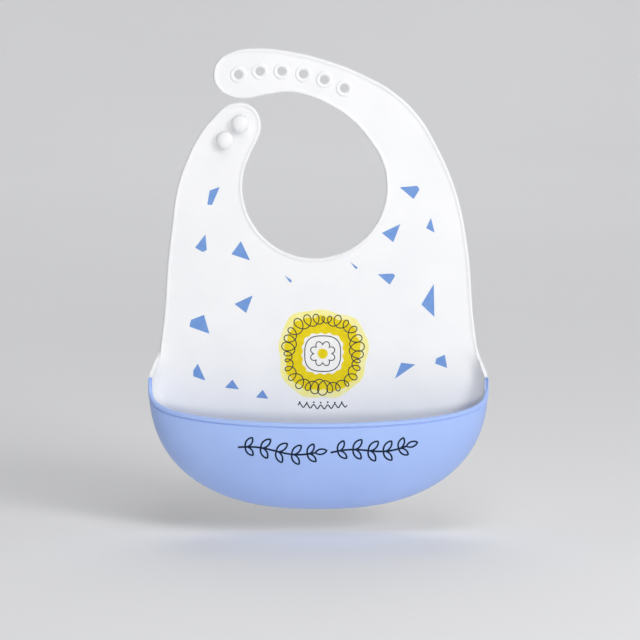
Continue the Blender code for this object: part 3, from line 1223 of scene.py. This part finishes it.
@dataclass
class SunMedallion(SheetPrint):
    """A plain sun: a pale brushed halo, a gold ring, a looped line round it and a small daisy inside.

    Each ring is its radius, its number of sides and its wobbles.
    """

    centre: Spot = (0.0028, 0.1040)
    halo: Ring = (0.0308, 120, ((4, 0.035, -1.3), (3, 0.025, 0.9), (9, 0.022, 0.2)))
    gold: Ring = (0.0262, 144, ((4, 0.045, -1.4), (9, 0.020, 0.3), (19, 0.022, 2.0)))
    paper: Ring = (0.0146, 144, ((4, 0.060, -1.5), (16, 0.035, 0.4)))
    heart: Ring = (0.0034, 48, ((3, 0.03, 0.5),))
    inner_ring: Ring = (0.0127, 72, ((4, 0.050, -1.5),))
    loops: int = 28
    loop_steps: int = 18
    loop_middle: float = 0.0240
    loop_reach: float = 0.0033
    loop_stretch: float = 1.15
    loop_lean: float = 0.95
    petals: int = 8
    petal_steps: int = 16
    petal_foot: float = 0.0058
    petal_reach: float = 0.0028
    line: float = 0.00074

    def looped_line(self) -> list[Spot]:
        """One closed line that goes round in small uneven loops."""
        spots = []
        total = self.loops * self.loop_steps
        for step in range(total):
            angle = 2 * pi * step / total
            turn = self.loops * angle + 1.1 * sin(4 * angle + 0.3)
            swell = 1.0 + 0.20 * sin(3 * angle + 0.6) + 0.18 * sin(7 * angle) + 0.12 * sin(11 * angle + 1.0)
            along = self.loop_reach * swell * sin(turn)
            outward = self.loop_middle * (1.0 + 0.045 * sin(4 * angle - 1.4))
            outward += self.loop_reach * swell * self.loop_stretch * cos(turn)
            spots.append(polar(self.centre, outward, angle - along / self.loop_middle * self.loop_lean))
        return spots

    def daisy(self) -> list[Spot]:
        """A small ring of petals in one closed line."""
        spots = []
        total = self.petals * self.petal_steps
        for step in range(total):
            angle = 2 * pi * step / total
            radius = self.petal_foot + self.petal_reach * abs(sin(self.petals / 2 * angle)) ** 0.7
            spots.append(polar(self.centre, radius, angle))
        return spots

    def build(self) -> None:
        """Prints the halo, the gold, the white middle, the daisy's heart and the lines."""
        layers = [
            ("sun_halo", self.halo, HALO_INK, Slot.HALO_INK),
            ("sun_gold", self.gold, GOLD_INK, Slot.GOLD_INK),
            ("sun_middle", self.paper, PAPER_INK, Slot.WHITE),
            ("sun_heart", self.heart, GOLD_INK, Slot.GOLD_INK),
        ]
        for layer, (name, ring, finish, slot) in enumerate(layers):
            shape = flat_shape(wobbly_ring(self.centre, *ring), name)
            self.lay(shape, name, finish, slot, PANEL_FOLD, layer)
        lines = {
            "sun_loops": self.looped_line(),
            "sun_ring_line": wobbly_ring(self.centre, *self.inner_ring),
            "sun_daisy": self.daisy(),
        }
        for name, spots in lines.items():
            stroke = drawn_line(spots, self.line, self.ink, name, closed=True)
            self.lay(stroke, name, NAVY_INK, Slot.NAVY_INK, PANEL_FOLD, len(layers) - 1, flat=False)


@dataclass
class DotBorder(SheetPrint):
    """A thin wave and a short row of tiny navy dots under the sun."""

    middle: Spot = (0.0027, 0.0683)
    width: float = 0.033
    line: float = 0.00085
    waves: int = 7
    wave_layer: float = 0.4
    steps: int = 168
    wave_height: float = 0.0013
    sag: float = 0.0006
    dot_radius: float = 0.0006
    dot_sides: int = 16
    dot_start: float = 0.25
    dot_heights: tuple[float, float] = (0.0026, 0.0023)

    def build(self) -> None:
        """Prints the wave and its dots."""
        wave, dots = [], []
        for step in range(self.steps + 1):
            share = step / self.steps
            rise = self.wave_height * sin(share * 2 * pi * self.waves) + self.sag * cos(share * 2 * pi)
            wave.append((self.middle[0] + self.width * (share - 0.5), self.middle[1] + rise))
        stroke = drawn_line(wave, self.line, self.ink, "wave")
        self.lay(stroke, "dot_border_wave", NAVY_INK, Slot.NAVY_INK, None, self.wave_layer, flat=False)
        for number in range(self.waves):
            share = (number + self.dot_start) / self.waves
            x = self.middle[0] + self.width * (share - 0.5)
            spot = (x, self.middle[1] + self.dot_heights[number % 2])
            dots.append(flat_shape(wobbly_ring(spot, self.dot_radius, self.dot_sides), f"dot_{number}"))
        self.lay(join(dots, "dot_border_dots"), "dot_border_dots", NAVY_INK, Slot.NAVY_INK, None)


@dataclass
class VinePrint:
    """Two leafy sprigs in navy ink across the pocket's front: a soft stem with leaves in pairs."""

    pocket: ScoopPocket
    line: float = 0.00150
    rise: float = 0.00006
    lengths: tuple[tuple[float, float], ...] = ((-0.0535, -0.0020), (0.0080, 0.0585))
    height: float = 0.0447
    wave: float = 0.0016
    bow: float = 1.1
    drop: float = 0.0008
    stem_steps: int = 80
    pairs: int = 5
    first_pair: float = 0.10
    leaf_size: float = 0.0088
    leaf_width: float = 0.24
    leaf_turn: float = 52.0
    leaf_steps: int = 40

    def stem_spot(self, start: float, end: float, share: float) -> Spot:
        """(x, height) on the stem at a share of its length."""
        x = start + (end - start) * share
        return x, self.height + self.bow * x * x - self.drop + self.wave * sin(share * 2 * pi)

    def leaf(self, foot: Spot, lean: float, size: float) -> list[Spot]:
        """The outline of a pointed leaf.

        Args:
            foot: where it grows from.
            lean: the direction that it points in, in radians.
            size: its length.

        Returns:
            Its spots, from its foot and round.
        """
        spots = []
        for step in range(self.leaf_steps):
            turn = 2 * pi * step / self.leaf_steps
            along = size * (1.0 - cos(turn)) / 2
            side = size * self.leaf_width * sin(turn) * abs(sin(turn)) ** 0.5
            x = foot[0] + along * cos(lean) - side * sin(lean)
            spots.append((x, foot[1] + along * sin(lean) + side * cos(lean)))
        return spots

    def sprig(self, start: float, end: float) -> list[bpy.types.Object]:
        """One stem with its pairs of leaves and a leaf at its tip."""
        stem = [self.stem_spot(start, end, step / self.stem_steps) for step in range(self.stem_steps + 1)]
        strokes = [drawn_line(stem, self.line, self.rise, "stem")]
        leaves = [(1.0, 0.0, 0.85)]
        for number in range(self.pairs):
            share = self.first_pair + (1.0 - 2 * self.first_pair) * number / (self.pairs - 1)
            size = 0.80 + 0.20 * sin(pi * (number + 0.8) / (self.pairs + 0.6))
            turn = radians(self.leaf_turn)
            leaves += [(share, turn, size), (share, -turn, size * 0.95)]
        for share, turn, size in leaves:
            foot, ahead = (self.stem_spot(start, end, place) for place in (share, share + 0.01))
            slope = (ahead[1] - foot[1]) / (ahead[0] - foot[0])
            outline = self.leaf(foot, turn + slope, self.leaf_size * size)
            strokes.append(drawn_line(outline, self.line * 0.9, self.rise, "leaf", closed=True))
        return strokes

    def build(self) -> None:
        """Prints both sprigs on the pocket's outside."""
        strokes = [stroke for start, end in self.lengths for stroke in self.sprig(start, end)]
        vine = join(strokes, "pocket_vine")
        push_forward(vine, self.pocket.depth_finder())
        dress(vine, "pocket_vine", NAVY_INK, 60)
        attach(vine, Body.POCKET.value)


# ---------------------------------------------------------------- studio


@dataclass
class Studio:
    """A plain pale floor that curves up behind the bib, soft lights and the camera."""

    floor_gap: float = 0.016
    floor_size: tuple[float, float] = (9.0, 7.4)
    wall_height: float = 4.0
    wall_bend: float = 0.75
    room_tint: Colour = (0.97, 0.98, 1.0)
    room_strength: float = 0.225
    distance: float = 2.388
    elevation: float = 8.0
    aim: tuple[float, float, float] = (0.0010, 0.0, -0.0280)
    lens: float = 200.0
    sensor: float = 36.0

    def backdrop(self) -> None:
        """The floor and its curved back."""
        deselect_all()
        level = FOOT - self.floor_gap
        back = self.floor_size[1] / 2
        bpy.ops.mesh.primitive_plane_add(size=1.0, location=(0.0, 0.0, level))
        floor = bpy.context.object
        floor.name = "studio_floor"
        floor.scale = (*self.floor_size, 1.0)
        settle(floor)

        def at_back(edge: bpy.types.MeshEdge) -> bool:
            """Whether an edge is the floor's own back edge."""
            ends = [floor.data.vertices[end].co for end in edge.vertices]
            return all(abs(end.y - back) < 1e-5 and abs(end.z - level) < 1e-5 for end in ends)

        open_some(floor, "EDGE", at_back)
        bpy.ops.mesh.extrude_region_move(TRANSFORM_OT_translate={"value": (0.0, 0.0, self.wall_height)})
        close_edit()
        open_some(floor, "EDGE", at_back)
        bpy.ops.mesh.bevel(offset=self.wall_bend, segments=24, affect="EDGES")
        close_edit()
        bpy.ops.object.shade_smooth()
        floor.data.materials.append(STUDIO_PAPER.material())

    def lights(self) -> None:
        """Key from the right, a low front light, one above, one for the backdrop, and a dim room."""
        deselect_all()
        white, middle = (1.0, 1.0, 1.0), (0.0, 0.0, 0.0)
        lamps = [
            ("key_light", (1.50, -1.60, 0.95), 0.8, 21.5, (1.0, 0.990, 0.975), middle),
            ("front_light", (0.1, -2.1, 0.00), 0.32, 10.8, white, middle),
            ("top_light", (0.2, -0.8, 1.4), 0.9, 7.0, white, middle),
            ("backdrop_light", (0.0, 2.3, 2.6), 2.4, 32.0, white, (0.0, 2.5, 0.0)),
        ]
        for name, place, side, watts, tint, aim in lamps:
            bpy.ops.object.light_add(type="AREA", location=place)
            lamp = bpy.context.object
            lamp.name = name
            lamp.data.size = side
            lamp.data.energy = watts
            lamp.data.color = tint
            lamp.rotation_euler = (Vector(aim) - Vector(place)).to_track_quat("-Z", "Y").to_euler()
        world = bpy.data.worlds.new("studio_room")
        bpy.context.scene.world = world
        world.use_nodes = True
        background = world.node_tree.nodes["Background"]
        background.inputs["Color"].default_value = (*self.room_tint, 1.0)
        background.inputs["Strength"].default_value = self.room_strength
        bpy.context.scene.view_settings.view_transform = "Standard"

    def camera(self) -> None:
        """The camera, a little above the bib's middle."""
        low, high = CAD_BOX
        middle = Vector(((low.x + high.x) / 2, 0.0, (low.z + high.z) / 2))
        tilt = radians(self.elevation)
        back = Vector((0.0, -cos(tilt), sin(tilt)))
        bpy.ops.object.camera_add(location=middle + Vector(self.aim) + back * self.distance)
        camera = bpy.context.object
        camera.name = "studio_camera"
        camera.data.lens = self.lens
        camera.data.sensor_width = self.sensor
        camera.rotation_euler = (-back).to_track_quat("-Z", "Y").to_euler()
        bpy.context.scene.camera = camera

    def build(self) -> None:
        """Sets up everything round the bib."""
        self.camera()
        self.lights()
        self.backdrop()


def main() -> None:
    """Builds the studio and the bib piece by piece."""
    logging.basicConfig(level=logging.INFO, format="%(message)s")
    deselect_all()
    Studio().build()
    outline = Silhouette()
    holes = HoleRow()
    SheetMoulding(outline, hole_spots=holes.spots()).build()
    holes.build()
    Stud("upper_stud", (-0.0521, 0.2588), "upper_button").build()
    Stud("lower_stud", (-0.0623, 0.2478), "lower_button").build()
    pocket = ScoopPocket(outline)
    pocket.build()
    ConfettiPrint().build()
    SunMedallion().build()
    DotBorder().build()
    VinePrint(pocket).build()
    deselect_all()


if __name__ == "__main__":
    main()
